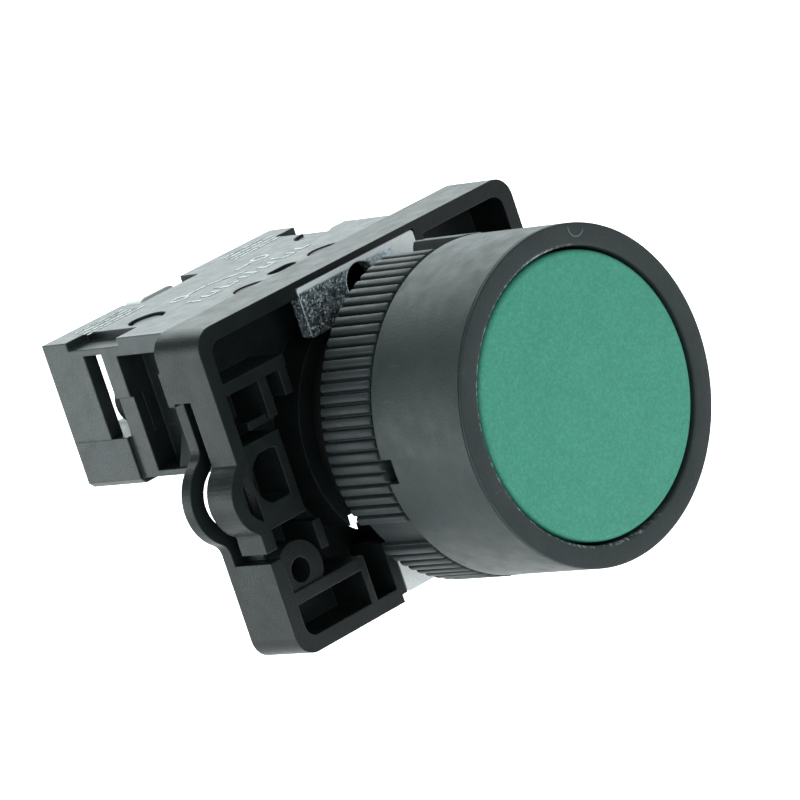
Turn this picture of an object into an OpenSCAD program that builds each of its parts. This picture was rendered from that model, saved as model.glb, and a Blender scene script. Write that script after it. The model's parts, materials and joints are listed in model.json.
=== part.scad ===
// Flush panel push button, 22 mm series, with its mounting base and one contact block.
// +Y runs from the pressed face back through the panel, +Z is up, and the origin is on
// the button's axis at the plane where the bezel seats on the panel.

/* [Head] */
// Diameter of the bezel
bezel_d = 29.5; // [29:0.1:30]
// How far the bezel stands in front of the panel
bezel_h = 11.3; // [11:0.1:12]
// Diameter of the green cap
cap_d = 24.9; // [24:0.1:25]
// How far the cap is pressed in
travel = 5; // [4.5:0.1:5]
// Outer diameter of the threaded tail
tail_d = 22; // [21.8:0.1:22.2]

/* [Ring nut] */
// Diameter over the ribs of the ring nut
nut_d = 29.7; // [29.4:0.1:29.8]
// Length of the ring nut along its axis
nut_len = 6.2; // [6:0.05:6.3]
// Number of rib places round the ring nut
nut_ribs = 90; // [72:6:96]

/* [Base] */
// Width of the base
base_w = 40; // [39.5:0.1:40.5]
// Height of the base
base_h = 30; // [29.8:0.1:30.4]
// Distance from the panel seat to the front of the base
base_front = 11.75; // [11.7:0.05:12]
// Depth of the base
base_depth = 5.85; // [5.8:0.05:6]

/* [Contact block] */
// Length of the contact block across the button
block_w = 29.4; // [29.2:0.1:29.8]
// Thickness of the contact block
block_t = 13.6; // [13.5:0.1:13.8]
// Distance from the panel seat to the back of the contact block
block_back = 38.5; // [38.3:0.1:38.7]
// Distance of the terminal screws from the centre
terminal_x = 10.6; // [10.5:0.05:10.7]

/* [Which piece] */
// The piece to show

/* [Hidden] */

smooth = 96;            // facets of the large turned pieces
fine = 48;              // facets of the small turned pieces
eps = 0.01;
run = 0.05;             // radial clearance of a running fit

// Head
bezel_r = bezel_d / 2;
cap_r = cap_d / 2;
well_r = cap_r + 0.3;   // bore of the bezel round the cap
cap_front = -bezel_h + 0.1;
cap_t = 2.2;
cap_skirt = 1;
tail_r = tail_d / 2;
thread_pitch = 1.5;
thread_depth = 0.5;
thread_end = base_front - 0.25;
spigot_r = 9.6;         // plain end of the tail inside the base
tail_end = 15;
spring_bore_r = 8.2;
foot_bore_r = 8.85;
shoulder = [9, 11];     // front and back of the shoulder that guides the stem
stem_r = 5.5;
stem_front = -9;
well_floor = stem_front + 1 + travel + 0.3; // bottom of the bore, clear of the pressed stem
foot_front = shoulder[1] + 0.05;
foot_t = 1.2;
foot_z = 8.4;           // half height of the foot
foot_w = 5.2;
prong_r = 1.5;
washer_back = shoulder[0] - 1;
washer_t = 0.6;
key_w = 2.2;            // gap in the bezel's back rim for the panel key
key_d = 1.4;
key_reach = 2.6;        // how far the key gap reaches in from the bezel's side

// Gasket and ring nut
gasket_t = 0.65;
gasket_groove = 0.6;    // depth of the gasket's groove in the bezel
gasket_r = 13.2;
nut_front = 0.15;
nut_back = nut_front + nut_len;
nut_r = nut_d / 2;
rib_h = 0.5;
notch_r = nut_r - 0.95;
notch_half = 7.4;       // half angle of a spanner notch
notch_angles = [88, 208, 328];

// Base
base_back = base_front + base_depth;
floor_front = base_back - 1.3;
floor_hole_r = 10.15;
rim = 1.4;
side_x = base_w / 2;
half_h = base_h / 2;
corner_r = 2;
arm_top = 8.95;         // the left side is open between these two heights
arm_bottom = -6.1;
wall_back = base_front + 3.25;
arm_front = base_front + 4.65;
bulge = [-18.05, -0.25];
boss = [-16.8, -7.9];
boss_r = 2.6;
pilot_r = 1.1;
pilot_len = 3;

// Locking plate
plate_t = 1.2;
tab_w = 14.8;           // width of the upper tab
low_tab_w = 12.6;
tab_z = [9.8, 14.35];
leg_w = 8.2;
plate_web_back = base_back - 0.2;
tab_hole_r = 1.8;
tab_hole_z = 12.25;

// Contact block
block_front = base_back + 0.1;
block_z = [0.3, 0.3 + block_t];
split_z = block_z[0] + 4.4;
mid_z = 7.1;            // height of the plunger, screws and contacts
end_x = block_w / 2;
wall = 1.3;
end_wall = 1.4;
roof_z = block_z[1] - 1.35;
inner_front = block_front + 1.2;
inner_back = block_back - wall;
column = [29, 31];      // front and back of the shelf under each fixed contact
gap_back = 33.4;        // back of the wire gap
room_x = 7.3;           // half width of the middle room
partition_t = 0.6;
room_r_x = room_x + partition_t;
rivets_x = [-3.5, 6];
rivet_y = 21.9;
rivet_r = 1.2;
rivet_head_r = 1.6;
recess_r = 1.75;
pegs_x = [-9.7, 11.6];
peg_y = 29.5;
end_notch = [12.05, 28.3, 35.2]; // inner side, front and back of the notch over a wire gap
bay = [11.9, 19.5];     // inner side and front of the bay in each end
bay_wall = 0.8;
foot_front_y = 31.3;    // front of the solid foot in each end of the cover
foot_step = 0.35;       // how far the foot stands proud at the end
under_step = 0.5;       // and underneath
column_split = 8.4;     // height where the housing's column meets the cover's
tongue_x = 12.8;        // snap tongues into the base
tongue_z = 6.5;
tongue_w = 1;
tongue_h = 3.5;

// Moving contact
stem_gap = 0.1;
plunger_tip = block_front - 0.65;
prong_end = plunger_tip - stem_gap;
plunger_tip_r = 2.2;
body_front = inner_front + run;
body_back = 28.5;
window = [20.3, 27.05];
body_w = 4.2;
body_z = [1.9, 12.3];
back_stem_r = 1.5;
head_front = block_back + 0.4;
head_back = 41;
bridge_t = 0.6;
bridge_back = window[1] - run;
tip_r = 1.1;
tip_t = 0.5;
contact_front = column[1] + run;
contact_t = 0.6;
tip_x = 6;

// Terminals
screw_r = 1.75;
screw_head_r = 2.3;
saddle_front = 31.7;
saddle_t = 0.6;
head_gap = 0.03;
screw_head_front = saddle_front + saddle_t + head_gap;
screw_head_t = 1.25;
screw_tip = 29.35;

// ---- Shared shapes ----

// Turns a profile of [radius, y] points about the button's axis
module turned(points, facets = smooth)
    rotate([-90, 0, 0]) rotate_extrude($fn = facets) polygon(points);

// A rod along +Y from y0 to y1, centred on x, z
module rod(r, y0, y1, x = 0, z = 0, facets = fine)
    translate([x, y0, z]) rotate([-90, 0, 0]) cylinder(r = r, h = y1 - y0, $fn = facets);

// A box given by its low and high corners
module block(low, high)
    translate(low) cube(high - low);

// Raises a drawing made in X and Z from y0 back to y1
module upright(y0, y1)
    translate([0, y1, 0]) rotate([90, 0, 0]) linear_extrude(y1 - y0) children();

// A rectangle with round corners, centred on the origin
module soft_rect(w, h, r) {
    square([w - 2 * r, h], center = true);
    square([w, h - 2 * r], center = true);
    for (x = [-1, 1], z = [-1, 1])
        translate([x * (w / 2 - r), z * (h / 2 - r)]) circle(r = r, $fn = 32);
}

// A rectangle from one corner to the other
module rect(low, high)
    translate(low) square(high - low);

function arc_points(c, r, from, to, n) =
    [for (i = [0:n]) let (a = from + (to - from) * i / n) c + r * [cos(a), sin(a)]];

// A coil along Y: wire of radius w wound at radius r in `turns` turns from y0 to y1
function coil_ring(r, w, a, y, lean, sides) =
    [for (s = [0:sides - 1])
        let (b = 360 * s / sides, out = r + w * cos(b), side = w * sin(b))
        [out * cos(a) + side * lean * sin(a), y + side, out * sin(a) - side * lean * cos(a)]];

module coil(r, w, turns, y0, y1, steps, sides) {
    n = turns * steps;
    rise = y1 - y0 - 2 * w;
    lean = rise / (turns * 2 * PI * r);
    points = [for (i = [0:n]) each coil_ring(r, w, 360 * i / steps, y0 + w + rise * i / n, lean, sides)];
    skin = [for (i = [0:n - 1], s = [0:sides - 1])
        let (t = (s + 1) % sides)
        [i * sides + s, (i + 1) * sides + s, (i + 1) * sides + t, i * sides + t]];
    front = [[for (s = [0:sides - 1]) s]];
    back = [[for (s = [0:sides - 1]) n * sides + sides - 1 - s]];
    polyhedron(points, concat(skin, front, back), convexity = 8);
}

// ---- Head ----

// Outline of the threaded tail: one tooth of the thread for each pitch
function thread_profile(y0, y1) =
    [for (y = [y0:thread_pitch:y1 - thread_pitch]) each [
        [tail_r, y + 0.15 * thread_pitch],
        [tail_r - thread_depth, y + 0.45 * thread_pitch],
        [tail_r - thread_depth, y + 0.55 * thread_pitch],
        [tail_r, y + 0.85 * thread_pitch]
    ]];

module bezel_body() color("#2b2d2e") difference() {
    turned(concat(
        [
            [stem_r + run, shoulder[0]],
            [spring_bore_r, shoulder[0]],
            [spring_bore_r, well_floor],
            [well_r, well_floor],
            [well_r, -bezel_h + 0.45],
            [well_r + 0.25, -bezel_h + 0.12],
            [bezel_r - 0.3, -bezel_h],
            [bezel_r, -bezel_h + 0.3],
            [bezel_r, -0.25],
            [bezel_r - 0.25, 0],
            [gasket_r + 0.1, 0],
            [gasket_r + 0.1, -gasket_groove],
            [tail_r, -gasket_groove]
        ],
        thread_profile(gasket_t, thread_end),
        [
            [tail_r, thread_end - 0.3],
            [tail_r - 0.3, thread_end],
            [spigot_r, thread_end],
            [spigot_r, tail_end - 0.3],
            [spigot_r - 0.3, tail_end],
            [foot_bore_r, tail_end],
            [foot_bore_r, shoulder[1]],
            [stem_r + run, shoulder[1]]
        ]
    ));
    block([-bezel_r - 1, -key_d, -0.5 - key_w / 2], [-bezel_r + key_reach, 1, -0.5 + key_w / 2]);
}

module button_cap() color("#489e80")
    turned([
        [0, cap_front],
        [cap_r - 0.45, cap_front],
        [cap_r - 0.13, cap_front + 0.13],
        [cap_r, cap_front + 0.45],
        [cap_r, cap_front + cap_t + cap_skirt],
        [cap_r - 0.9, cap_front + cap_t + cap_skirt],
        [cap_r - 0.9, cap_front + cap_t],
        [0, cap_front + cap_t]
    ]);

module pusher_stem() color("#d8d8d2") {
    turned([
        [0, stem_front],
        [cap_r - 0.95, stem_front],
        [cap_r - 0.95, stem_front + 1],
        [stem_r, stem_front + 1],
        [stem_r, foot_front],
        [0, foot_front]
    ]);
    rod(2.4, foot_front - eps, foot_front + foot_t);
}

module pusher_foot() color("#3b3d3e") {
    difference() {
        upright(foot_front, foot_front + foot_t) soft_rect(foot_w, 2 * foot_z, 1.2);
        rod(2.4, foot_front - 1, foot_front + foot_t + 1);
    }
    for (side = [-1, 1])
        rod(prong_r, foot_front + foot_t - eps, prong_end, 0, side * (mid_z - 0.2));
}

module stem_seal() color("#1e1f20")
    turned([
        [stem_r + 0.1, washer_back + 0.35],
        [stem_r + 0.7, washer_back],
        [spring_bore_r - 0.05, washer_back],
        [spring_bore_r - 0.05, shoulder[0]],
        [stem_r + 0.7, shoulder[0]],
        [stem_r + 0.1, shoulder[0] - 0.35]
    ]);

module spring_seat_washer() color("#b9bcc0")
    turned([
        [stem_r + 0.3, washer_back - washer_t],
        [spring_bore_r - 0.1, washer_back - washer_t],
        [spring_bore_r - 0.1, washer_back],
        [stem_r + 0.3, washer_back]
    ]);

module return_spring() color("#c4c8cc")
    coil(6.9, 0.5, 6, stem_front + 1, washer_back - washer_t, 16, 8);

module panel_gasket() color("#1b1c1d")
    translate([0, -gasket_groove, 0]) turned([
        [tail_r + 0.1, 0],
        [gasket_r, 0],
        [gasket_r, gasket_t - 0.15],
        [gasket_r - 0.15, gasket_t],
        [tail_r + 0.25, gasket_t],
        [tail_r + 0.1, gasket_t - 0.15]
    ]);

// ---- Ring nut ----

function in_notch(a) =
    len([for (n = notch_angles) if (abs(a - n) < notch_half) n]) > 0;

// One rib: its two feet at the root radius and its narrow crest
function rib_points(a, pitch) =
    [for (s = [-0.36, -0.24, 0.24, 0.36])
        let (r = abs(s) > 0.3 ? nut_r - rib_h : nut_r, b = a + s * pitch)
        r * [cos(b), sin(b)]];

function nut_outline(pitch) =
    [for (i = [0:nut_ribs - 1]) let (a = i * pitch) each
        in_notch(a) ? arc_points([0, 0], notch_r, a - pitch / 2, a + pitch / 2, 2) : rib_points(a, pitch)];

module ring_nut() color("#303334") intersection() {
    upright(nut_front, nut_back) polygon(nut_outline(360 / nut_ribs));
    turned([
        [tail_r + run, nut_front],
        [nut_r - 0.2, nut_front],
        [nut_r + 0.1, nut_front + 0.3],
        [nut_r + 0.1, nut_back - 0.4],
        [nut_r - 0.35, nut_back],
        [tail_r + 0.5, nut_back],
        [tail_r + run, nut_back - 0.4]
    ]);
}

// ---- Locking plate ----

module locking_plate() color("#c9d2d6") {
    for (side = [0, 1]) mirror([0, 0, side]) {
        difference() {
            upright(base_front, base_front + plate_t) translate([0, (tab_z[0] + tab_z[1]) / 2])
                soft_rect(side == 0 ? tab_w : low_tab_w, tab_z[1] - tab_z[0], 0.3);
            rod(tab_hole_r, base_front - 1, base_front + plate_t + 1, 0, tab_hole_z);
        }
        block([-leg_w / 2, base_front + plate_t / 2, tab_z[0] + 0.1],
            [leg_w / 2, plate_web_back, tab_z[0] + 0.1 + plate_t]);
    }
    difference() {
        block([-leg_w / 2, plate_web_back - plate_t, -tab_z[0] - 0.1 - plate_t / 2],
            [leg_w / 2, plate_web_back, tab_z[0] + 0.1 + plate_t / 2]);
        block([-3.2, plate_web_back - 2 * plate_t, -9.3], [3.2, plate_web_back + 1, 9.3]);
    }
}

// ---- Base ----

// The edge of the bulged arm: straight, out round the bulge and straight again.
// top_x and low_x are the straights, r the bulge, f the fillets and z0, z1 the ends.
function bulged_edge(top_x, low_x, r, f, z0, z1) =
    let (
        top_dx = top_x - f - bulge[0],
        low_dx = low_x - f - bulge[0],
        top_z = sqrt((r + f) * (r + f) - top_dx * top_dx),
        low_z = sqrt((r + f) * (r + f) - low_dx * low_dx),
        top_a = atan2(top_z, top_dx),
        low_a = 360 - atan2(low_z, low_dx)
    )
    concat(
        [[top_x, z0]],
        arc_points([top_x - f, bulge[1] + top_z], f, 0, top_a - 180, 5),
        arc_points(bulge, r, top_a, low_a, 18),
        arc_points([low_x - f, bulge[1] - low_z], f, low_a - 180, 0, 5),
        [[low_x, z1]]
    );

function reversed(points) = [for (i = [len(points) - 1:-1:0]) points[i]];

module bulged_strip(top_x, low_x, r, f, t, z0, z1)
    polygon(concat(
        bulged_edge(top_x, low_x, r, f, z0, z1),
        reversed(bulged_edge(top_x + t, low_x + t, r - t, f + t, z0, z1))
    ));

// Everything of the base that reaches from its front to its back
module base_rim() difference() {
    soft_rect(base_w, base_h, corner_r);
    soft_rect(base_w - 2 * rim, base_h - 2 * rim, corner_r - 0.8);
    rect([-side_x - 1, arm_bottom], [-side_x + 4, arm_top]);
}

module base_floor() difference() {
    soft_rect(base_w, base_h, corner_r);
    circle(r = floor_hole_r, $fn = smooth);
    rect([-leg_w / 2 - 0.2, -tab_z[0] - 1.5], [leg_w / 2 + 0.2, tab_z[0] + 1.5]);
    rect([-side_x - 1, arm_bottom], [-side_x + 2, arm_top]);
    for (x = [-tongue_x, tongue_x])
        translate([x, tongue_z]) square([tongue_w + 0.2, tongue_h + 0.3], center = true);
}

// Ribs that stand on the floor; the last value is how far behind the base's front they start
RIBS = [
    [[-18.7, 8.8], [-11.2, 9.85], 0],
    [[-12.1, 6.4], [-11.2, 9], 0.2],
    [[-14.5, 5.2], [-13.5, 8.9], 0.4],
    [[-16.6, 4.9], [-13.5, 5.6], 1],
    [[-13.8, -7.2], [-12.9, -4.6], 0.3],
    [[-18.7, -10.5], [-9.9, -9.4], 0],
    [[-10.6, -14], [-9.9, -9.9], 0],
    [[7.5, 9.4], [8.4, 14], 0],
    [[7.6, 8.8], [18.7, 9.85], 0],
    [[-7.4, -14.25], [-6.4, -9.3], 0],
    [[6.4, -14.25], [7.4, -9.3], 0.2],
    [[9.9, -10.5], [18.7, -9.4], 0],
    [[9.9, -14], [11, -9.9], 0],
    [[13.5, -5], [14.5, 5], 0.4],
    [[14, -0.5], [18.7, 0.5], 0.4]
];

// The ring round the tail, open at its lower left
module collar() difference() {
    circle(r = 11.4, $fn = smooth);
    circle(r = spigot_r + 0.02, $fn = smooth);
    rect([-9.05, -9.25], [-5.6, -6]);
}

// Pad beside the bulge with a D-shaped pocket for the driver that works the locking plate
module driver_socket() difference() {
    rect([-18.6, -3.6], [-13.9, 4]);
    intersection() {
        translate([-16, 0.6]) circle(r = 2.4, $fn = fine);
        rect([-20, -1.6], [-14.8, 2.9]);
    }
}

module base_body() color("#2c2e2f") difference() {
    union() {
        upright(base_front, base_back) base_rim();
        upright(floor_front, base_back) base_floor();
        for (r = RIBS) upright(base_front + r[2], floor_front + eps) rect(r[0], r[1]);
        upright(base_front + 1.2, floor_front + eps) collar();
        upright(base_front, wall_back)
            bulged_strip(-side_x, -side_x, 3.75, 0.4, 1.3, arm_top + 0.5, -5.2);
        upright(arm_front, base_back)
            bulged_strip(-side_x + 0.4, -side_x, 4.4, 1.5, 1.5, arm_top + 0.5, arm_bottom - 0.5);
        upright(wall_back - 1.2, floor_front + eps) rect([-18.75, arm_bottom - 0.4], [-17.9, arm_top]);
        upright(base_front + 0.6, floor_front + eps) driver_socket();
        // Lip on the back edge of the left side
        upright(base_back - 0.5, base_back + 0.3) rect([-side_x, 8.7], [-18.9, 11.8]);
        rod(boss_r, base_front + 0.25, floor_front + eps, boss[0], boss[1]);
        upright(base_front + 0.25, floor_front + eps) rect([-18.7, -10], [boss[0], -6.4]);
    }
    rod(pilot_r, base_front + 0.25 - eps, base_front + 0.25 + pilot_len, boss[0], boss[1]);
    // Seats of the plate's two tabs; the lower one is open downward
    upright(base_front - 1, base_front + plate_t) {
        rect([-tab_w / 2 - 0.1, tab_z[0] - 0.1], [tab_w / 2 + 0.1, tab_z[1] + 0.1]);
        rect([-low_tab_w / 2 - 0.1, -half_h - 1], [low_tab_w / 2 + 0.1, -tab_z[0] + 0.1]);
    }
    upright(base_front - 1, base_back + 1) rect([-7, -half_h - 1], [7, -tab_z[1] + 0.05]);
    // Way through for the plate's legs
    upright(base_front, base_back + 1)
        rect([-leg_w / 2 - 0.1, -tab_z[0] - plate_t - 0.2], [leg_w / 2 + 0.1, tab_z[0] + plate_t + 0.2]);
}

// ---- Contact block ----

module both_sides()
    for (side = [0, 1]) mirror([side, 0, 0]) children();

// The rooms inside, drawn in X and Y, shared by the housing and its cover
module rooms(z0, z1) both_sides() {
    block([-eps, inner_front, z0], [room_x, inner_back, z1]);
    block([room_r_x, inner_front, z0], [bay[0] - bay_wall, column[0], z1]);
    block([room_r_x, column[1], z0], [end_x - end_wall, block_back + 1, z1]);
}

module housing_marks() {
    // Recesses, each with a peg left standing in it
    for (x = pegs_x) translate([x, peg_y, block_z[1] - 0.6]) difference() {
        cylinder(r = recess_r, h = 1, $fn = fine);
        translate([0, 0, -1]) cylinder(r = 1.35, h = 1.4, $fn = fine);
    }
    for (x = rivets_x) {
        translate([x, rivet_y, block_z[1] - 0.7]) cylinder(r = recess_r, h = 1, $fn = fine);
        translate([x, rivet_y, roof_z - 1]) cylinder(r = rivet_r + run, h = 3, $fn = fine);
    }
    both_sides()
        block([end_notch[0], end_notch[1], block_z[1] - 0.75], [end_x + 1, end_notch[2], block_z[1] + 1]);
    // Small slot between the rivets
    translate([1.4, 23, block_z[1] - 0.9]) linear_extrude(2) soft_rect(3.2, 1.5, 0.7);
    // Scoop over the end of the plunger
    translate([-4.6, block_back - 2.6, block_z[1]]) rotate([-26, 0, 0]) cube([7.5, 5, 4]);
}

module contact_housing() color("#3a3d3f") difference() {
    union() {
        block([-end_x, block_front, split_z], [end_x, block_back, block_z[1]]);
        // Snap tongues that reach through the base's floor
        for (x = [-tongue_x, tongue_x]) translate([x, floor_front, tongue_z]) {
            block([-tongue_w / 2, -1.1, -tongue_h / 2],
                [tongue_w / 2, block_front - floor_front + eps, tongue_h / 2]);
            block([-tongue_w / 2, -1.1, 0], [tongue_w / 2, -0.05, tongue_h / 2 + 0.45]);
        }
    }
    rooms(split_z - 1, roof_z);
    housing_marks();
    both_sides() {
        // Wire gap behind the shelf and the wider bay in front of it
        block([end_x - 2, column[1], split_z - 1], [end_x + 1, gap_back, roof_z]);
        difference() {
            block([bay[0], bay[1], split_z - 1], [end_x + 1, column[0], roof_z - 0.3]);
            block([bay[0] - 1, bay[1] - 1, 5], [bay[0] + 0.8, 25, 8.6]);
        }
        // The column's outer skin is the cover's up to its split
        block([end_x - end_wall, column[0] - eps, split_z - 1],
            [end_x + 1, column[1] + eps, column_split]);
        // Room for the screw's shank and for the contact strip
        rod(screw_r + 0.15, screw_tip - 0.1, column[1] + 1, terminal_x, mid_z);
        block([room_x - 1, column[1] - eps, mid_z - 2.3],
            [room_r_x + 1, column[1] + 1.2, mid_z + 2.3]);
        // The shelf stops short of the middle room
        block([room_r_x - eps, column[0] - 0.1, split_z - 1],
            [room_r_x + 0.3, column[1] + 0.1, mid_z - 2.4]);
    }
    rod(plunger_tip_r + run, block_front - 1, inner_front + 1, 0, mid_z);
    rod(back_stem_r + run, inner_back - 1, block_back + 1, 0, mid_z);
}

module contact_cover() color("#3f4244") difference() {
    union() {
        difference() {
            block([-end_x, block_front, block_z[0]], [end_x, block_back, split_z]);
            rooms(block_z[0] + 1.2, split_z + 1);
        }
        both_sides() {
            // Solid feet under the wire gap and skins up the columns
            block([room_r_x - eps, column[0], block_z[0]], [end_x, block_back, split_z]);
            block([end_x - end_wall + run, column[0], split_z - eps],
                [end_x, column[1], column_split - 0.08]);
        }
    }
    both_sides() {
        difference() {
            block([bay[0], bay[1], block_z[0] + 1.05], [end_x + 1, column[0], split_z + 1]);
            // Ramp at the bottom of the bay
            upright(bay[1] - 1, bay[1] + 7)
                polygon([
                    [bay[0] - 1, split_z],
                    [bay[0] + 0.3, split_z],
                    [end_x - 0.6, 1.2],
                    [bay[0] - 1, 1.2]
                ]);
        }
        rod(screw_head_r + 0.3, column[1], block_back + 1, terminal_x, mid_z);
        // The end stands back in front of the foot
        block([end_x - foot_step, block_front - 1, block_z[0] - 1],
            [end_x + 1, foot_front_y, column_split + 1]);
        // Bevel at the lower edge of the end
        translate([end_x, block_back, block_z[0]]) rotate([0, 45, 0]) cube([0.7, 60, 0.7], center = true);
    }
    // The underside steps up in front of the feet
    block([-end_x - 1, block_front - 1, block_z[0] - 1],
        [end_x + 1, foot_front_y, block_z[0] + under_step]);
    for (x = rivets_x) translate([x, rivet_y, block_z[0] - 1]) {
        cylinder(r = recess_r, h = 1.9, $fn = fine);
        cylinder(r = rivet_r + run, h = 3, $fn = fine);
    }
}

module cover_rivets() color("#8a7a6c") for (x = rivets_x) translate([x, rivet_y, 0]) {
    translate([0, 0, block_z[0] + 0.6]) cylinder(r = rivet_head_r, h = 0.3, $fn = fine);
    translate([0, 0, block_z[0] + 0.7]) cylinder(r = rivet_r, h = block_t - 1.2, $fn = fine);
    translate([0, 0, block_z[1] - 0.7]) difference() {
        cylinder(r = rivet_head_r, h = 0.58, $fn = fine);
        translate([0, 0, 0.3]) cylinder(r = 0.7, h = 1, $fn = fine);
    }
}

module contact_plunger() color([0.93, 0.94, 0.92, 0.9]) {
    rod(plunger_tip_r, plunger_tip, body_front + eps, 0, mid_z);
    difference() {
        block([-body_w / 2, body_front, body_z[0]], [body_w / 2, body_back, body_z[1]]);
        block([-body_w, window[0], mid_z - 2.2], [body_w, window[1], mid_z + 2.2]);
    }
    rod(back_stem_r, body_back - eps, head_front + eps, 0, mid_z);
    upright(head_front, head_back) translate([0, mid_z]) soft_rect(4.8, 12.8, 1);
}

module plunger_spring() color("#c4c8cc")
    translate([0, 0, mid_z]) coil(2.2, 0.22, 7, body_back + 0.02, inner_back - 0.02, 14, 6);

module contact_bridge() color("#c08a4a")
    upright(bridge_back - bridge_t, bridge_back) translate([0, mid_z]) soft_rect(14, 3.7, 0.8);

module bridge_tips() color("#d5d7d9")
    for (x = [-tip_x, tip_x]) rod(tip_r, bridge_back, bridge_back + tip_t, x, mid_z);

module bridge_spring() color("#c4c8cc")
    translate([0, 0, mid_z]) coil(1.5, 0.18, 5, window[0] + 0.02, bridge_back - bridge_t - 0.02, 12, 6);

// One fixed contact: the strip lies on its shelf with the terminal screw through it
module fixed_contact() color("#c08a4a") difference() {
    block([tip_x - 1.3, contact_front, mid_z - 2.1],
        [end_x - end_wall - 0.2, contact_front + contact_t, mid_z + 2.1]);
    rod(screw_r + run, contact_front - 1, contact_front + contact_t + 1, terminal_x, mid_z);
}

module fixed_contact_left() mirror([1, 0, 0]) fixed_contact();

module fixed_contact_right() fixed_contact();

module fixed_tips() color("#d5d7d9")
    for (x = [-tip_x, tip_x]) rod(tip_r, contact_front - tip_t, contact_front, x, mid_z);

// ---- Terminals ----

module terminal_screw(x) color("#b4b8bc") difference() {
    union() {
        rod(screw_r, screw_tip + 0.5, screw_head_front + eps, x, mid_z);
        rod(screw_r - 0.4, screw_tip, screw_tip + 0.5 + eps, x, mid_z);
        rod(screw_head_r, screw_head_front, screw_head_front + screw_head_t, x, mid_z);
    }
    translate([x, screw_head_front + screw_head_t, mid_z]) {
        cube([3.6, 1.4, 0.7], center = true);
        cube([0.7, 1.4, 3.6], center = true);
    }
}

module terminal_screw_left() terminal_screw(-terminal_x);

module terminal_screw_right() terminal_screw(terminal_x);

module clamp_saddle(x) color("#aeb3b7") difference() {
    upright(saddle_front, saddle_front + saddle_t) translate([x, mid_z]) soft_rect(4.3, 4.6, 0.3);
    rod(screw_r + run, saddle_front - 1, saddle_front + saddle_t + 1, x, mid_z);
}

module clamp_saddle_left() clamp_saddle(-terminal_x);

module clamp_saddle_right() clamp_saddle(terminal_x);

bezel_body();
button_cap();
pusher_stem();
pusher_foot();
stem_seal();
spring_seat_washer();
return_spring();
panel_gasket();
ring_nut();
locking_plate();
base_body();
contact_housing();
contact_cover();
cover_rivets();
contact_plunger();
plunger_spring();
contact_bridge();
bridge_tips();
bridge_spring();
fixed_contact_left();
fixed_contact_right();
fixed_tips();
terminal_screw_left();
terminal_screw_right();
clamp_saddle_left();
clamp_saddle_right();
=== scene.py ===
import json
import math

import bmesh
import bpy
from mathutils import Matrix, Vector


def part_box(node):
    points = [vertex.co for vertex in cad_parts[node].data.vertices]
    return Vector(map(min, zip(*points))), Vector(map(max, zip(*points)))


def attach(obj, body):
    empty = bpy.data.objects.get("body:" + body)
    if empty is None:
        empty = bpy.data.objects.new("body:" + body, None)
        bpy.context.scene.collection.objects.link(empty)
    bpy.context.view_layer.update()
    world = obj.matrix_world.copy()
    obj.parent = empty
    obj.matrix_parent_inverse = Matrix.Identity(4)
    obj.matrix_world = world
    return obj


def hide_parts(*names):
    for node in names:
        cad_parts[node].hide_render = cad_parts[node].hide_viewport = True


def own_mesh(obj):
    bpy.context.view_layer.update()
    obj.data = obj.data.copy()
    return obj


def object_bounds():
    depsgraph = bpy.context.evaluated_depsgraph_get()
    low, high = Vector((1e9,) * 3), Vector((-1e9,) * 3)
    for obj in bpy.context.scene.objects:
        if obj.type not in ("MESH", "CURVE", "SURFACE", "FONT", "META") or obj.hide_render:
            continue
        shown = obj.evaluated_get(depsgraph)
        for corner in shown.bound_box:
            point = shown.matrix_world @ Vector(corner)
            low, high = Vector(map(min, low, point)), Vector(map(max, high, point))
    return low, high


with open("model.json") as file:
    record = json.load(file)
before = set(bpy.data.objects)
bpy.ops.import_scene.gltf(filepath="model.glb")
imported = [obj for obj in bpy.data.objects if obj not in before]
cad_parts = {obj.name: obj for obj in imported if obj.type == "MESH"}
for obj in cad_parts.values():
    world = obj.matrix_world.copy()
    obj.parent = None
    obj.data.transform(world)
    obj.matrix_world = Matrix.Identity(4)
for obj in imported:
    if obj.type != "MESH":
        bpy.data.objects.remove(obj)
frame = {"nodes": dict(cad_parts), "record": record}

CAD_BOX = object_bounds()
NODES = frame["nodes"]
SLOT_OF = {s["node"]: s["material_slot"] for s in frame["record"]["subparts"]}
BODY_OF = {n: b for b, nodes in frame["record"]["behaviour"]["bodies"].items() for n in nodes}
MM = 0.001
PLATE_FRONT = min(v[1] for v in NODES["locking_plate"].bound_box)
COOL_WHITE = (0.90, 1.0, 1.0)

# ---- Sizes of the turned pieces and the print, in mm ----

BEZEL_R, BEZEL_FRONT = 14.75, -11.3
WELL_R, WELL_FLOOR = 12.75, -2.7
CREASE_Y, CREASE_HALF, CREASE_DEPTH = -11.02, 0.06, 0.08
KEY_GAP = (-BEZEL_R - 1, -1.4, -1.6), (-BEZEL_R + 2.6, 1.0, 0.6)
CAP_R, CAP_FRONT, CAP_T, CAP_SKIRT, CAP_WALL = 12.45, -11.2, 2.2, 1.0, 0.9
TAIL_R, PITCH, THREAD_DEPTH, THREAD_END = 11.0, 1.5, 0.5, 11.5
SPIGOT_R, TAIL_END = 9.6, 15.0
GASKET_T, GROOVE_R, GROOVE_DEPTH = 0.65, 13.3, 0.6
SPRING_BORE_R, FOOT_BORE_R, STEM_BORE_R = 8.2, 8.85, 5.55
SHOULDER_FRONT, SHOULDER_BACK = 9.0, 11.0
NUT_R, NUT_ROOT, NUT_RIBS = 14.85, 14.34, 90
NUT_FRONT, NUT_BACK, NUT_BORE = 0.15, 6.35, 11.05
NOTCH_R, NOTCH_HALF, NOTCHES = 13.95, 7.4, (88, 208, 328)
FLANK_END, FLANK_WIDTH = 0.45, 0.15     # of a rib's side, as shares of a rib's pitch
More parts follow.
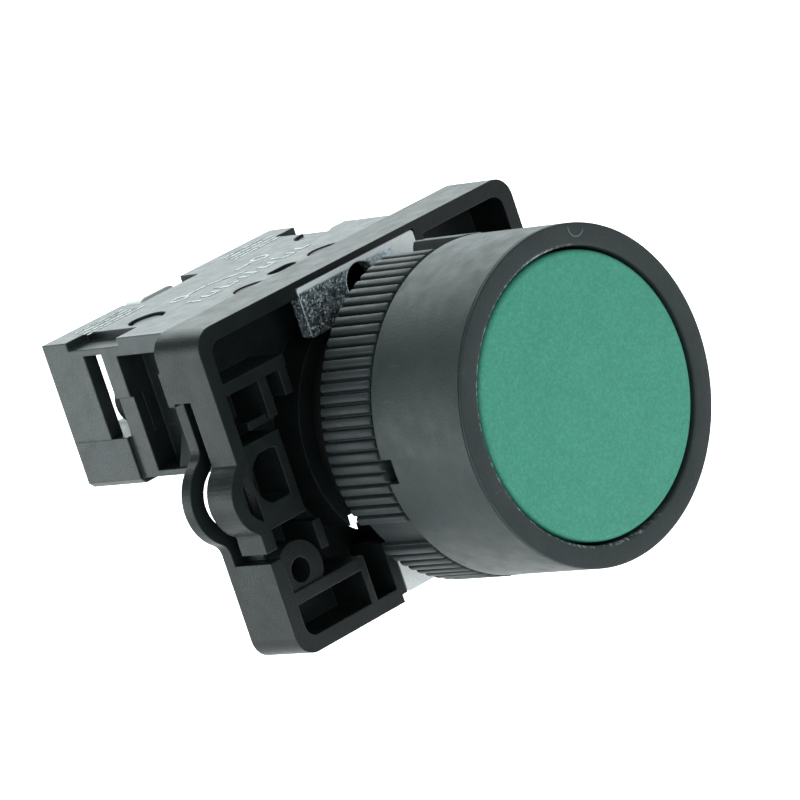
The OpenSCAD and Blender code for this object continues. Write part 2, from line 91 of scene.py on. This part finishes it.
CROWN = 1.3                             # how much a rib's top is rounded
PRINT_Z, PRINT_T, PRINT_SINK = 13.9, 0.03, 0.01

# ---- Camera ----

AIM = Vector((-0.0058, 0.0053, 0.0030))
VIEW_AZIMUTH = 41.04      # turned from +Y towards +X
VIEW_ELEVATION = 11.6     # above the horizontal, looking down
VIEW_ROLL = -18.5         # the right side of the picture dips
VIEW_DISTANCE = 0.59
LENS = 309.1


def add_camera():
    az, el, roll = (math.radians(a) for a in (VIEW_AZIMUTH, VIEW_ELEVATION, VIEW_ROLL))
    ahead = Vector((math.sin(az) * math.cos(el), math.cos(az) * math.cos(el), -math.sin(el)))
    level = ahead.cross(Vector((0, 0, 1))).normalized()
    over = level.cross(ahead)
    right = level * math.cos(roll) + over * math.sin(roll)
    up = right.cross(ahead)
    turn = Matrix((right, up, -ahead)).transposed().to_4x4()
    data = bpy.data.cameras.new("camera")
    data.lens = LENS
    data.clip_start = 0.01
    data.clip_end = 20
    data.dof.use_dof = False
    camera = bpy.data.objects.new("camera", data)
    bpy.context.scene.collection.objects.link(camera)
    camera.matrix_world = Matrix.Translation(AIM - ahead * VIEW_DISTANCE) @ turn
    bpy.context.scene.camera = camera


# ---- Node helpers ----

def new_material(name):
    material = bpy.data.materials.new(name)
    material.use_nodes = True
    tree = material.node_tree
    return material, tree, tree.nodes["Principled BSDF"]


def add_node(tree, kind, **values):
    node = tree.nodes.new(kind)
    for key, value in values.items():
        if key in node.inputs:
            node.inputs[key].default_value = value
        else:
            setattr(node, key, value)
    return node


def place(tree):
    """Object coordinates in metres: every mesh is in the shared frame, so grain has its real size."""
    return add_node(tree, "ShaderNodeTexCoord").outputs["Object"]


def noise(tree, scale, detail=2.0, rough=0.5, where=None):
    node = add_node(tree, "ShaderNodeTexNoise", Scale=scale, Detail=detail, Roughness=rough)
    tree.links.new(where or place(tree), node.inputs["Vector"])
    return node.outputs["Fac"]


def stretched(tree, x, y, z, turn=0.0):
    """Object coordinates scaled along each axis, for scratches and drawn grain."""
    node = add_node(tree, "ShaderNodeMapping")
    node.inputs["Scale"].default_value = (x, y, z)
    node.inputs["Rotation"].default_value = (0, turn, turn)
    tree.links.new(place(tree), node.inputs["Vector"])
    return node.outputs["Vector"]


def ramp(tree, fac, stops):
    node = add_node(tree, "ShaderNodeValToRGB")
    elements = node.color_ramp.elements
    while len(elements) < len(stops):
        elements.new(0.5)
    for element, (position, colour) in zip(elements, stops):
        element.position = position
        element.color = (*colour, 1.0)
    tree.links.new(fac, node.inputs["Fac"])
    return node.outputs["Color"]


def remap(tree, value, low, high, to_low, to_high):
    node = add_node(tree, "ShaderNodeMapRange")
    for key, number in (("From Min", low), ("From Max", high), ("To Min", to_low), ("To Max", to_high)):
        node.inputs[key].default_value = number
    tree.links.new(value, node.inputs["Value"])
    return node.outputs["Result"]


def maths(tree, operation, a, b=None):
    node = add_node(tree, "ShaderNodeMath", operation=operation)
    for socket, value in zip(node.inputs, (a, b)):
        if value is None:
            continue
        if isinstance(value, (int, float)):
            socket.default_value = value
        else:
            tree.links.new(value, socket)
    return node.outputs[0]


def mix_colour(tree, fac, a, b):
    """a and b are sockets or plain colours."""
    node = add_node(tree, "ShaderNodeMix", data_type="RGBA")
    tree.links.new(fac, node.inputs[0])
    for socket, value in ((node.inputs[6], a), (node.inputs[7], b)):
        if isinstance(value, tuple):
            socket.default_value = (*value, 1.0)
        else:
            tree.links.new(value, socket)
    return node.outputs[2]


def bump(tree, height, strength, distance, normal=None):
    node = add_node(tree, "ShaderNodeBump", Strength=strength, Distance=distance)
    tree.links.new(height, node.inputs["Height"])
    if normal is not None:
        tree.links.new(normal, node.inputs["Normal"])
    return node.outputs["Normal"]


def soft_edges(tree, radius):
    """Normals rounded over the edges."""
    return add_node(tree, "ShaderNodeBevel", samples=6, Radius=radius).outputs["Normal"]


def nearness_to_edge(tree, soft_normal):
    """From 0 on a flat face to 1 on an edge, by how far the rounded normal leans."""
    dot = add_node(tree, "ShaderNodeVectorMath", operation="DOT_PRODUCT")
    tree.links.new(soft_normal, dot.inputs[0])
    tree.links.new(add_node(tree, "ShaderNodeNewGeometry").outputs["Normal"], dot.inputs[1])
    return remap(tree, dot.outputs["Value"], 0.995, 0.86, 0.0, 1.0)


def base_colour(tree):
    """The socket that now feeds the shader's colour, so that marks can be laid over it."""
    return tree.nodes["Principled BSDF"].inputs["Base Color"].links[0].from_socket


# ---- Materials ----

def moulded(name, dark, light, roughness=(0.40, 0.54), edge=None,
            edge_radius=0.00022, grain=5200.0, depth=0.000012, dust=0.35, specular=0.5):
    """Moulded plastic: fine grain, slow changes of tone and gloss, edges tinted lighter as wear and as a
    painted highlight, a little dust.
    """
    material, tree, shader = new_material(name)
    tone = ramp(tree, noise(tree, 330.0, 5.0, 0.62), [(0.32, dark), (0.70, light)])
    fleck = remap(tree, noise(tree, 2900.0, 2.0, 0.7), 0.66, 0.80, 0.0, dust)
    tone = mix_colour(tree, fleck, tone, tuple(min(1.0, 2.6 * c + 0.02) for c in light))
    normal = soft_edges(tree, edge_radius)
    # The edge colour goes where the rounded normal leans: partly wear, partly a painted highlight of edges
    # catching the light.
    if edge:
        wear_and_sheen_patches = remap(tree, noise(tree, 900.0, 3.0), 0.35, 0.65, 0.25, 1.0)
        worn_and_lit_edges = maths(tree, "MULTIPLY", nearness_to_edge(tree, normal), wear_and_sheen_patches)
        tone = mix_colour(tree, worn_and_lit_edges, tone, edge)
    tree.links.new(tone, shader.inputs["Base Color"])
    gloss = remap(tree, noise(tree, 640.0, 3.0), 0.3, 0.7, *roughness)
    tree.links.new(gloss, shader.inputs["Roughness"])
    tree.links.new(bump(tree, noise(tree, grain, 3.0, 0.6), 0.7, depth, normal), shader.inputs["Normal"])
    shader.inputs["Specular IOR Level"].default_value = specular
    return material


def mottled(material):
    """Adds a fine uneven speckle of lighter and darker green points."""
    tree = material.node_tree
    shader = tree.nodes["Principled BSDF"]
    fine = noise(tree, 4600.0, 3.0, 0.75)
    light_points = remap(tree, fine, 0.50, 0.66, 0.0, 0.5)
    lighter = mix_colour(tree, light_points, base_colour(tree), (0.11, 0.42, 0.33))
    both = mix_colour(tree, remap(tree, fine, 0.48, 0.34, 0.0, 0.4), lighter, (0.024, 0.22, 0.137))
    tree.links.new(both, shader.inputs["Base Color"])
    return material


def scratched(material, colour):
    """Adds fine straight scratches in two directions to a moulded material."""
    tree = material.node_tree
    shader = tree.nodes["Principled BSDF"]
    lines = None
    for scale, turn in (((2600.0, 90.0, 700.0), 0.5), ((500.0, 60.0, 2400.0), -0.35)):
        drawn = noise(tree, 1.0, 2.0, 0.5, stretched(tree, *scale, turn))
        line = remap(tree, drawn, 0.72, 0.78, 0.0, 0.5)
        lines = line if lines is None else maths(tree, "MAXIMUM", lines, line)
    patch = remap(tree, noise(tree, 170.0, 2.0), 0.5, 0.62, 0.0, 1.0)
    marks = maths(tree, "MULTIPLY", lines, patch)
    tree.links.new(mix_colour(tree, marks, base_colour(tree), colour), shader.inputs["Base Color"])


def nicked(material, colour):
    """Adds the ragged light lip on the left of the bezel's bore and one curved scratch on its front."""
    tree = material.node_tree
    shader = tree.nodes["Principled BSDF"]
    split = add_node(tree, "ShaderNodeSeparateXYZ")
    tree.links.new(place(tree), split.inputs["Vector"])
    x, y, z = split.outputs

    def reach(cx, cz):
        across = maths(tree, "POWER", maths(tree, "SUBTRACT", x, cx * MM), 2.0)
        along = maths(tree, "POWER", maths(tree, "SUBTRACT", z, cz * MM), 2.0)
        return maths(tree, "SQRT", maths(tree, "ADD", across, along))

    front = remap(tree, y, (BEZEL_FRONT + 0.7) * MM, (BEZEL_FRONT + 0.4) * MM, 0.0, 1.0)
    lip = remap(tree, reach(0, 0), (WELL_R + 0.27) * MM, (WELL_R + 0.13) * MM, 0.0, 1.0)
    side = remap(tree, x, 5.0 * MM, 0.0, 0.0, 1.0)
    ragged = remap(tree, noise(tree, 2000.0, 4.0, 0.75), 0.50, 0.60, 0.0, 0.9)
    lip = maths(tree, "MULTIPLY", maths(tree, "MULTIPLY", lip, side), ragged)
    curl_x, curl_z, curl_r = 4.65, 13.65, 0.9
    away = maths(tree, "ABSOLUTE", maths(tree, "SUBTRACT", reach(curl_x, curl_z), curl_r * MM))
    curl = remap(tree, away, 0.06 * MM, 0.02 * MM, 0.0, 0.45)
    for along, centre, start, stop in ((z, curl_z, 0.3, 0.1), (x, curl_x, 0.8, 0.6)):
        kept = remap(tree, along, (centre + start) * MM, (centre + stop) * MM, 0.0, 1.0)
        curl = maths(tree, "MULTIPLY", curl, kept)
    marks = maths(tree, "MULTIPLY", maths(tree, "MAXIMUM", lip, curl), front)
    tree.links.new(mix_colour(tree, marks, base_colour(tree), colour), shader.inputs["Base Color"])


def metal(name, dark, light, roughness=(0.22, 0.42), scale=900.0, depth=0.00001):
    material, tree, shader = new_material(name)
    tone = ramp(tree, noise(tree, scale, 5.0, 0.65), [(0.3, dark), (0.7, light)])
    tree.links.new(tone, shader.inputs["Base Color"])
    gloss = remap(tree, noise(tree, scale * 1.7, 3.0), 0.3, 0.7, *roughness)
    tree.links.new(gloss, shader.inputs["Roughness"])
    normal = soft_edges(tree, 0.00012)
    tree.links.new(bump(tree, noise(tree, scale * 3, 3.0), 0.4, depth, normal), shader.inputs["Normal"])
    shader.inputs["Metallic"].default_value = 1.0
    return material


def spangled(name):
    """Zinc plate with fine specks; on its front, near-white colour is painted as a reflection at the right,
    along the top and low down.
    """
    material, tree, shader = new_material(name)
    split = add_node(tree, "ShaderNodeSeparateXYZ")
    tree.links.new(place(tree), split.inputs["Vector"])
    x, y, z = split.outputs
    ragged = maths(tree, "MULTIPLY", noise(tree, 900.0, 4.0, 0.7), 3 * MM)
    right_end = maths(tree, "ADD", x, ragged)
    painted_reflection = remap(tree, right_end, 5.2 * MM, 6.4 * MM, 0.0, 1.0)
    for start, stop in ((13.75, 13.95), (-9.0, -9.5)):
        painted_reflection = maths(tree, "MAXIMUM", painted_reflection, remap(tree, z, start * MM, stop * MM, 0.0, 1.0))
    front = remap(tree, y, PLATE_FRONT + 0.6 * MM, PLATE_FRONT + 0.2 * MM, 0.0, 1.0)
    painted_reflection = maths(tree, "MULTIPLY", painted_reflection, front)
    stops = [(0.40, (0.22, 0.30, 0.36)), (0.52, (0.50, 0.62, 0.70)), (0.64, (0.76, 0.86, 0.93))]
    slow = ramp(tree, noise(tree, 1100.0, 6.0, 0.8), stops)
    speck = remap(tree, noise(tree, 5400.0, 4.0, 0.75), 0.54, 0.60, 0.0, 1.0)
    specks_and_reflection = maths(tree, "MAXIMUM", speck, painted_reflection)
    # Near-white, non-metallic colour on the specks and on the painted reflection zones.
    tree.links.new(mix_colour(tree, specks_and_reflection, slow, (0.97, 0.99, 1.0)), shader.inputs["Base Color"])
    tree.links.new(remap(tree, specks_and_reflection, 0.0, 1.0, 0.95, 0.0), shader.inputs["Metallic"])
    shader.inputs["Specular IOR Level"].default_value = 1.0
    gloss = remap(tree, noise(tree, 1500.0, 4.0, 0.7), 0.35, 0.65, 0.20, 0.42)
    tree.links.new(gloss, shader.inputs["Roughness"])
    normal = soft_edges(tree, 0.0002)
    tree.links.new(bump(tree, noise(tree, 3000.0, 4.0, 0.7), 0.5, 0.00004, normal), shader.inputs["Normal"])
    return material


def printed(name):
    """White ink, thin and broken in places."""
    material, tree, shader = new_material(name)
    stops = [(0.38, (0.30, 0.33, 0.33)), (0.52, (0.86, 0.90, 0.90))]
    tone = ramp(tree, noise(tree, 1400.0, 4.0, 0.7), stops)
    tree.links.new(tone, shader.inputs["Base Color"])
    tree.links.new(remap(tree, noise(tree, 900.0), 0.3, 0.7, 0.5, 0.7), shader.inputs["Roughness"])
    return material


def make_materials():
    fine = {"grain": 5000.0, "depth": 0.00004}
    # Each edge colour below is painted on rounded edges, partly as wear and partly as a painted highlight.
    made = {
        "bezel_plastic": moulded(
            "bezel_plastic", (0.029, 0.037, 0.038), (0.039, 0.047, 0.048), (0.42, 0.54),
            specular=0.26, **fine),
        "green_plastic": mottled(moulded(
            "green_plastic", (0.045, 0.305, 0.208), (0.054, 0.335, 0.230), (0.50, 0.64),
            grain=4600.0, depth=0.00003, dust=0.0)),
        "nut_plastic": moulded(
            "nut_plastic", (0.024, 0.030, 0.031), (0.036, 0.044, 0.046), (0.44, 0.56),
            edge=(0.07, 0.08, 0.082), edge_radius=0.0001, specular=0.28),
        "base_plastic": moulded(
            "base_plastic", (0.010, 0.013, 0.0135), (0.017, 0.021, 0.022), (0.34, 0.44),
            edge=(0.034, 0.042, 0.043), edge_radius=0.00015, specular=0.22, **fine),
        "block_plastic": moulded(
            "block_plastic", (0.019, 0.025, 0.026), (0.031, 0.039, 0.041), (0.28, 0.38),
            edge=(0.08, 0.09, 0.092), specular=0.32, **fine),
        "cover_plastic": moulded(
            "cover_plastic", (0.019, 0.025, 0.026), (0.029, 0.036, 0.038), (0.32, 0.42),
            edge=(0.08, 0.09, 0.092), specular=0.32, **fine),
        "grey_acetal": moulded("grey_acetal", (0.55, 0.55, 0.53), (0.65, 0.65, 0.63), dust=0.0),
        "white_plastic": moulded(
            "white_plastic", (0.84, 0.86, 0.85), (0.92, 0.93, 0.92), (0.25, 0.35), dust=0.0),
        # Much darker than the bezel plastic it belongs to: painted shade on the tail behind the nut.
        "thread": moulded(
            "thread", (0.005, 0.006, 0.006), (0.009, 0.011, 0.011), (0.6, 0.7), dust=0.0, specular=0.2),
        "black_rubber": moulded("black_rubber", (0.010, 0.010, 0.011), (0.015, 0.015, 0.016), (0.7, 0.85)),
        "zinc_steel": spangled("zinc_steel"),
        "spring_steel": metal("spring_steel", (0.5, 0.51, 0.53), (0.62, 0.63, 0.65)),
        "screw_steel": metal("screw_steel", (0.30, 0.32, 0.33), (0.48, 0.50, 0.51), (0.3, 0.5)),
        "contact_brass": metal("contact_brass", (0.50, 0.32, 0.15), (0.66, 0.45, 0.23)),
        "contact_silver": metal("contact_silver", (0.7, 0.7, 0.72), (0.8, 0.8, 0.82)),
        # The rivets' heads are dull, so they take the mouldings' recipe and not the metal one
        "copper_rivet": moulded(
            "copper_rivet", (0.05, 0.036, 0.038), (0.20, 0.145, 0.14), (0.42, 0.56),
            grain=5200.0, depth=0.00008, dust=0.0, specular=0.2),
        "white_print": printed("white_print"),
    }
    scratched(made["bezel_plastic"], (0.12, 0.13, 0.135))
    scratched(made["nut_plastic"], (0.14, 0.15, 0.155))
    nicked(made["bezel_plastic"], (0.36, 0.38, 0.38))
    return made


MATERIALS = make_materials()


def dress_nodes():
    for name, obj in NODES.items():
        obj.data.materials.clear()
        obj.data.materials.append(MATERIALS[SLOT_OF[name]])


# ---- Pieces ----

def add_piece(name, bm, slot_name, body, stands_for=(), sharp=32.0):
    bmesh.ops.recalc_face_normals(bm, faces=bm.faces)
    mesh = bpy.data.meshes.new(name)
    bm.to_mesh(mesh)
    bm.free()
    mesh.polygons.foreach_set("use_smooth", [True] * len(mesh.polygons))
    mesh.set_sharp_from_angle(angle=math.radians(sharp))
    mesh.materials.append(MATERIALS[slot_name])
    obj = bpy.data.objects.new(name, mesh)
    bpy.context.scene.collection.objects.link(obj)
    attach(obj, body)
    if stands_for:
        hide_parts(*stands_for)
    return obj


def rounded(points, radii, steps=5):
    """A profile in mm with each corner that has a radius rounded off; the profile is open."""
    out = []
    for i, (point, radius) in enumerate(zip(points, radii)):
        p = Vector(point)
        if not radius or i in (0, len(points) - 1):
            out.append(p)
            continue
        a = (Vector(points[i - 1]) - p).normalized()
        b = (Vector(points[i + 1]) - p).normalized()
        half = a.angle(b) / 2
        back = radius / math.tan(half)
        centre = p + (a + b).normalized() * (radius / math.sin(half))
        start, end = p + a * back - centre, p + b * back - centre
        sweep = start.angle_signed(end)
        for k in range(steps + 1):
            turn = -sweep * k / steps
            c, s = math.cos(turn), math.sin(turn)
            out.append(centre + Vector((start.x * c - start.y * s, start.x * s + start.y * c)))
    return out


def lathe(profile, segments=224, closed=True):
    """Turns a profile of (radius, y) in mm about the button's axis; an axis point is one vertex."""
    bm = bmesh.new()
    rings = []
    for r, y in profile:
        if r < 1e-6:
            rings.append([bm.verts.new((0, y * MM, 0))])
            continue
        ring = []
        for k in range(segments):
            a = 2 * math.pi * k / segments
            ring.append(bm.verts.new((r * math.cos(a) * MM, y * MM, r * math.sin(a) * MM)))
        rings.append(ring)
    pairs = list(zip(rings, rings[1:]))
    if closed:
        pairs.append((rings[-1], rings[0]))
    for one, two in pairs:
        for k in range(segments):
            j = (k + 1) % segments
            face = [one[k % len(one)], one[j % len(one)], two[j % len(two)], two[k % len(two)]]
            unique = list(dict.fromkeys(face))
            if len(unique) > 2:
                bm.faces.new(unique)
    return bm


def cut_box(obj, low, high):
    """Takes a box, given in mm, out of a piece."""
    bm = bmesh.new()
    bmesh.ops.create_cube(bm, size=1.0)
    for v in bm.verts:
        v.co = Vector([(low[i] + (v.co[i] + 0.5) * (high[i] - low[i])) * MM for i in range(3)])
    mesh = bpy.data.meshes.new("cutter")
    bm.to_mesh(mesh)
    bm.free()
    cutter = bpy.data.objects.new("cutter", mesh)
    bpy.context.scene.collection.objects.link(cutter)
    modifier = obj.modifiers.new("cut", "BOOLEAN")
    modifier.operation = "DIFFERENCE"
    modifier.solver = "EXACT"
    modifier.object = cutter
    bpy.context.view_layer.update()
    graph = bpy.context.evaluated_depsgraph_get()
    result = bpy.data.meshes.new_from_object(obj.evaluated_get(graph))
    obj.modifiers.remove(modifier)
    obj.data = result
    bpy.data.objects.remove(cutter)


def thread(y0, y1):
    """Round grooves at the thread's pitch, as profile points from y0 to y1."""
    points = []
    y = y0
    while y <= y1 - PITCH + 1e-6:
        for depth, share in ((0, 0.10), (0, 0.20), (1, 0.46), (1, 0.54), (0, 0.80), (0, 0.90)):
            points.append((TAIL_R - depth * THREAD_DEPTH, y + share * PITCH))
        y += PITCH
    return points


def build_bezel():
    front = [
        (SPRING_BORE_R, SHOULDER_FRONT), (SPRING_BORE_R, WELL_FLOOR), (WELL_R, WELL_FLOOR),
        (WELL_R, BEZEL_FRONT), (BEZEL_R, BEZEL_FRONT), (BEZEL_R, 0),
        (GROOVE_R, 0), (GROOVE_R, -GROOVE_DEPTH), (TAIL_R, -GROOVE_DEPTH)]
    profile = rounded(front, (0, 0.2, 0.2, 0.22, 0.14, 0.25, 0.08, 0, 0))
    crease = [
        (BEZEL_R, CREASE_Y - CREASE_HALF), (BEZEL_R - CREASE_DEPTH, CREASE_Y),
        (BEZEL_R, CREASE_Y + CREASE_HALF)]
    after_rim = max(i for i, p in enumerate(profile) if p.y < CREASE_Y) + 1
    profile[after_rim:after_rim] = [Vector(p) for p in crease]
    profile += [Vector(p) for p in thread(GASKET_T, THREAD_END)]
    back = [
        (TAIL_R, THREAD_END), (SPIGOT_R, THREAD_END), (SPIGOT_R, TAIL_END), (FOOT_BORE_R, TAIL_END),
        (FOOT_BORE_R, SHOULDER_BACK), (STEM_BORE_R, SHOULDER_BACK), (STEM_BORE_R, SHOULDER_FRONT)]
    profile += rounded(back, (0, 0, 0.3, 0.1, 0, 0, 0))
    bm = lathe([tuple(p) for p in profile])
    bezel = add_piece("bezel_shell", bm, "bezel_plastic", BODY_OF["bezel_body"], ["bezel_body"])
    cut_box(bezel, *KEY_GAP)
    # The tail behind the nut gets the darker thread colour as painted shade.
    bezel.data.materials.append(MATERIALS["thread"])
    for face in bezel.data.polygons:
        reach = math.hypot(face.center.x, face.center.z)
        if face.center.y > 0 and reach < (TAIL_R + 0.3) * MM:
            face.material_index = 1


def build_cap():
    cap_back = CAP_FRONT + CAP_T
    skirt_end = cap_back + CAP_SKIRT
    outline = [
        (0, CAP_FRONT), (CAP_R, CAP_FRONT), (CAP_R, skirt_end),
        (CAP_R - CAP_WALL, skirt_end), (CAP_R - CAP_WALL, cap_back), (0, cap_back)]
    profile = [tuple(p) for p in rounded(outline, (0, 0.42, 0.15, 0.1, 0, 0), 7)]
    bm = lathe(profile, closed=False)
    add_piece("cap_shell", bm, "green_plastic", BODY_OF["button_cap"], ["button_cap"])


def nut_radius(share, notch, lift):
    """Outer radius of the nut at a share of a rib's pitch, -0.5 to 0.5; lift scales the rib's height."""
    if notch:
        return NOTCH_R
    side = min(1.0, max(0.0, (FLANK_END - abs(share)) / FLANK_WIDTH))
    flank = side * side * (3 - 2 * side)
    return NUT_ROOT + (NUT_R - NUT_ROOT) * flank * (1 - CROWN * share ** 2) * lift


def build_nut():
    shares = (-0.5, -0.45, -0.41, -0.37, -0.33, -0.29, -0.16, 0.0, 0.16, 0.29, 0.33, 0.37, 0.41, 0.45)
    angles = []
    for rib in range(NUT_RIBS):
        at = rib * 360 / NUT_RIBS
        notch = any(abs(at - n) < NOTCH_HALF for n in NOTCHES)
        angles += [(math.radians(at + s * 360 / NUT_RIBS), s, notch) for s in shares]
    # Along the nut: y, how much of a rib's height stands there, and how far the chamfer takes it in
    levels = [(NUT_FRONT, 0.7, 0.08), (NUT_FRONT + 0.08, 0.93, 0.02), (NUT_FRONT + 0.22, 1.0, 0.0)]
    levels += [(NUT_FRONT + 2.0, 1.0, 0.0), (NUT_FRONT + 4.0, 1.0, 0.0)]
    levels += [(NUT_BACK - 0.2, 1.0, 0.0), (NUT_BACK - 0.07, 0.95, 0.02), (NUT_BACK, 0.75, 0.08)]
    bm = bmesh.new()
    rings = []
    for y, lift, sink in levels:
        ring = []
        for a, share, notch in angles:
            r = nut_radius(share, notch, lift) - sink
            ring.append(bm.verts.new((r * math.cos(a) * MM, y * MM, r * math.sin(a) * MM)))
        rings.append(ring)
    for r, y in ((NUT_BORE + 0.4, NUT_BACK), (NUT_BORE, NUT_BACK - 0.4), (NUT_BORE, NUT_FRONT)):
        places = [(r * math.cos(a) * MM, y * MM, r * math.sin(a) * MM) for a, share, notch in angles]
        rings.append([bm.verts.new(at) for at in places])
    count = len(angles)
    for one, two in zip(rings, rings[1:] + rings[:1]):
        for k in range(count):
            j = (k + 1) % count
            bm.faces.new((one[k], one[j], two[j], two[k]))
    add_piece("ring_nut_ribbed", bm, "nut_plastic", BODY_OF["ring_nut"], ["ring_nut"], 40.0)


def build_coil(node, body, wire, turns):
    """A spring in place of its CAD node."""
    low, high = (Vector(v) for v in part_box(node))
    middle = (low + high) / 2
    wire *= MM
    radius = (high.x - low.x) / 2 - wire
    bm = bmesh.new()
    rings = []
    sides = 12
    steps = turns * 40
    angles = [2 * math.pi * j / sides for j in range(sides)]
    for k in range(steps + 1):
        turn = 2 * math.pi * turns * k / steps
        out = Vector((math.cos(turn), 0, math.sin(turn)))
        level = low.y + wire + (high.y - low.y - 2 * wire) * k / steps
        centre = Vector((middle.x, level, middle.z)) + out * radius
        section = [out * math.cos(a) + Vector((0, math.sin(a), 0)) for a in angles]
        rings.append([bm.verts.new(centre + d * wire) for d in section])
    for one, two in zip(rings, rings[1:]):
        for j in range(sides):
            i = (j + 1) % sides
            bm.faces.new((one[j], one[i], two[i], two[j]))
    bm.faces.new(rings[0][::-1])
    bm.faces.new(rings[-1])
    coil = add_piece(node + "_wire", bm, "spring_steel", body, [node], 60.0)
    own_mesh(coil)


def build_springs():
    build_coil("return_spring", "housing", wire=0.5, turns=6)
    build_coil("plunger_spring", "housing", wire=0.22, turns=7)
    build_coil("bridge_spring", "plunger", wire=0.18, turns=5)


# ---- Print on the contact block ----

def stroke(bm, a, b, width):
    """A thin raised line between two points in mm on the block's top."""
    a, b = Vector(a), Vector(b)
    along = (b - a).normalized()
    side = Vector((-along.y, along.x)) * width / 2
    a, b = a - along * width / 2, b + along * width / 2
    corners = (a - side, b - side, b + side, a + side)
    low = [bm.verts.new((p.x * MM, p.y * MM, (PRINT_Z - PRINT_SINK) * MM)) for p in corners]
    top = [bm.verts.new((v.co.x, v.co.y, (PRINT_Z + PRINT_T) * MM)) for v in low]
    bm.faces.new(low[::-1])
    bm.faces.new(top)
    for k in range(4):
        bm.faces.new((low[k], low[(k + 1) % 4], top[(k + 1) % 4], top[k]))


def terminal_mark(bm, x, y, r, width):
    """A thin raised ring about (x, y) on the block's top, in mm."""
    rings = []
    count = 18
    turns = [math.radians(360 / count * k) for k in range(count)]
    inner, outer = r - width / 2, r + width / 2
    for radius, z in ((inner, -PRINT_SINK), (outer, -PRINT_SINK), (outer, PRINT_T), (inner, PRINT_T)):
        places = [(x + radius * math.cos(a), y + radius * math.sin(a), PRINT_Z + z) for a in turns]
        rings.append([bm.verts.new(Vector(at) * MM) for at in places])
    for one, two in zip(rings, rings[1:] + rings[:1]):
        for k in range(count):
            j = (k + 1) % count
            bm.faces.new((one[k], one[j], two[j], two[k]))


def print_symbol(bm, y):
    """A normally open contact: terminal, line, open arm, line, terminal."""
    for x in (-4.7, 5.6):
        terminal_mark(bm, x, y, 0.75, 0.34)
    for a, b in (((-3.5, y), (-1.6, y)), ((-1.0, y - 0.2), (1.9, y - 1.9)), ((2.6, y), (4.4, y))):
        stroke(bm, a, b, 0.36)


def print_ticks(bm, x0, y, pitch, count):
    """A scale of ticks, every third one longer and every second one with a foot."""
    for k in range(count):
        x = x0 + pitch * k
        stroke(bm, (x, y), (x, y + (1.0 if k % 3 else 1.7)), 0.34)
        if k % 2:
            stroke(bm, (x + 0.38, y), (x + 0.7, y), 0.34)


def print_dashes(bm, x0, x1, y0):
    """Four rows of fine dashes of uneven length."""
    for row in range(4):
        y = y0 + 0.85 * row
        x = x0 + 0.25 * row
        k = row
        while x < x1 - 0.4:
            length = 0.28 + 0.22 * ((k * 7 + row * 3) % 4)
            stroke(bm, (x, y), (x + length, y), 0.26)
            x += length + 0.42
            k += 1


def build_print():
    """Generic marks only: a contact symbol, a scale of ticks in front and dashes by the terminals."""
    bm = bmesh.new()
    print_symbol(bm, 30.4)
    print_ticks(bm, x0=-6.0, y=26.2, pitch=1.2, count=12)
    print_dashes(bm, x0=-12.6, x1=-5.6, y0=34.3)
    print_dashes(bm, x0=6.2, x1=12.6, y0=34.3)
    add_piece("block_print", bm, "white_print", BODY_OF["contact_housing"])


# ---- Stage and light ----

FLOOR_DROP = 150     # mm below the button
FLOOR_HALF = 3.0     # metres from the middle to each side


def add_floor():
    """Plain pale paper that glows a little more towards the back, so that it stays even."""
    z = CAD_BOX[0][2] - FLOOR_DROP * MM
    r = FLOOR_HALF
    mesh = bpy.data.meshes.new("floor")
    mesh.from_pydata([(-r, -r, z), (r, -r, z), (r, r, z), (-r, r, z)], [], [(0, 1, 2, 3)])
    floor = bpy.data.objects.new("floor", mesh)
    bpy.context.scene.collection.objects.link(floor)
    material, tree, shader = new_material("floor_paper")
    tone = ramp(tree, noise(tree, 30.0, 3.0), [(0.3, (0.88, 0.88, 0.88)), (0.7, (0.90, 0.90, 0.90))])
    tree.links.new(tone, shader.inputs["Base Color"])
    tree.links.new(tone, shader.inputs["Emission Color"])
    split = add_node(tree, "ShaderNodeSeparateXYZ")
    tree.links.new(place(tree), split.inputs["Vector"])
    back = maths(tree, "ADD", split.outputs[0], split.outputs[1])
    tree.links.new(remap(tree, back, -0.3, 0.7, 0.35, 1.1), shader.inputs["Emission Strength"])
    shader.inputs["Roughness"].default_value = 0.9
    mesh.materials.append(material)


def add_area(name, place_at, target, size, radiance):
    data = bpy.data.lights.new(name, "AREA")
    data.shape = "RECTANGLE"
    data.size, data.size_y = size
    data.energy = radiance * math.pi * size[0] * size[1]
    data.color = COOL_WHITE
    light = bpy.data.objects.new(name, data)
    bpy.context.scene.collection.objects.link(light)
    light.location = place_at
    light.rotation_euler = (Vector(target) - Vector(place_at)).to_track_quat("-Z", "Y").to_euler()


def add_lights():
    add_area("top_softbox", (0.35, 0.55, 0.75), (0.20, 0.30, -0.1), (0.9, 0.7), 2.6)
    add_area("rear_softbox", (0.60, 0.75, 0.45), (0, 0, 0.05), (1.3, 0.8), 2.15)
    add_area("left_softbox", (-0.52, 0.58, 0.02), (0, 0, 0), (0.6, 0.36), 3.9)
    add_area("front_softbox", (-0.20, -0.88, 0.24), (0, 0, 0), (0.5, 0.5), 2.7)
    world = bpy.data.worlds.new("studio")
    world.use_nodes = True
    background = world.node_tree.nodes["Background"]
    background.inputs["Color"].default_value = (*COOL_WHITE, 1)
    background.inputs["Strength"].default_value = 0.32
    bpy.context.scene.world = world
    bpy.context.scene.view_settings.view_transform = "Standard"


add_camera()
add_lights()
add_floor()
dress_nodes()
build_bezel()
build_cap()
build_nut()
build_springs()
build_print()
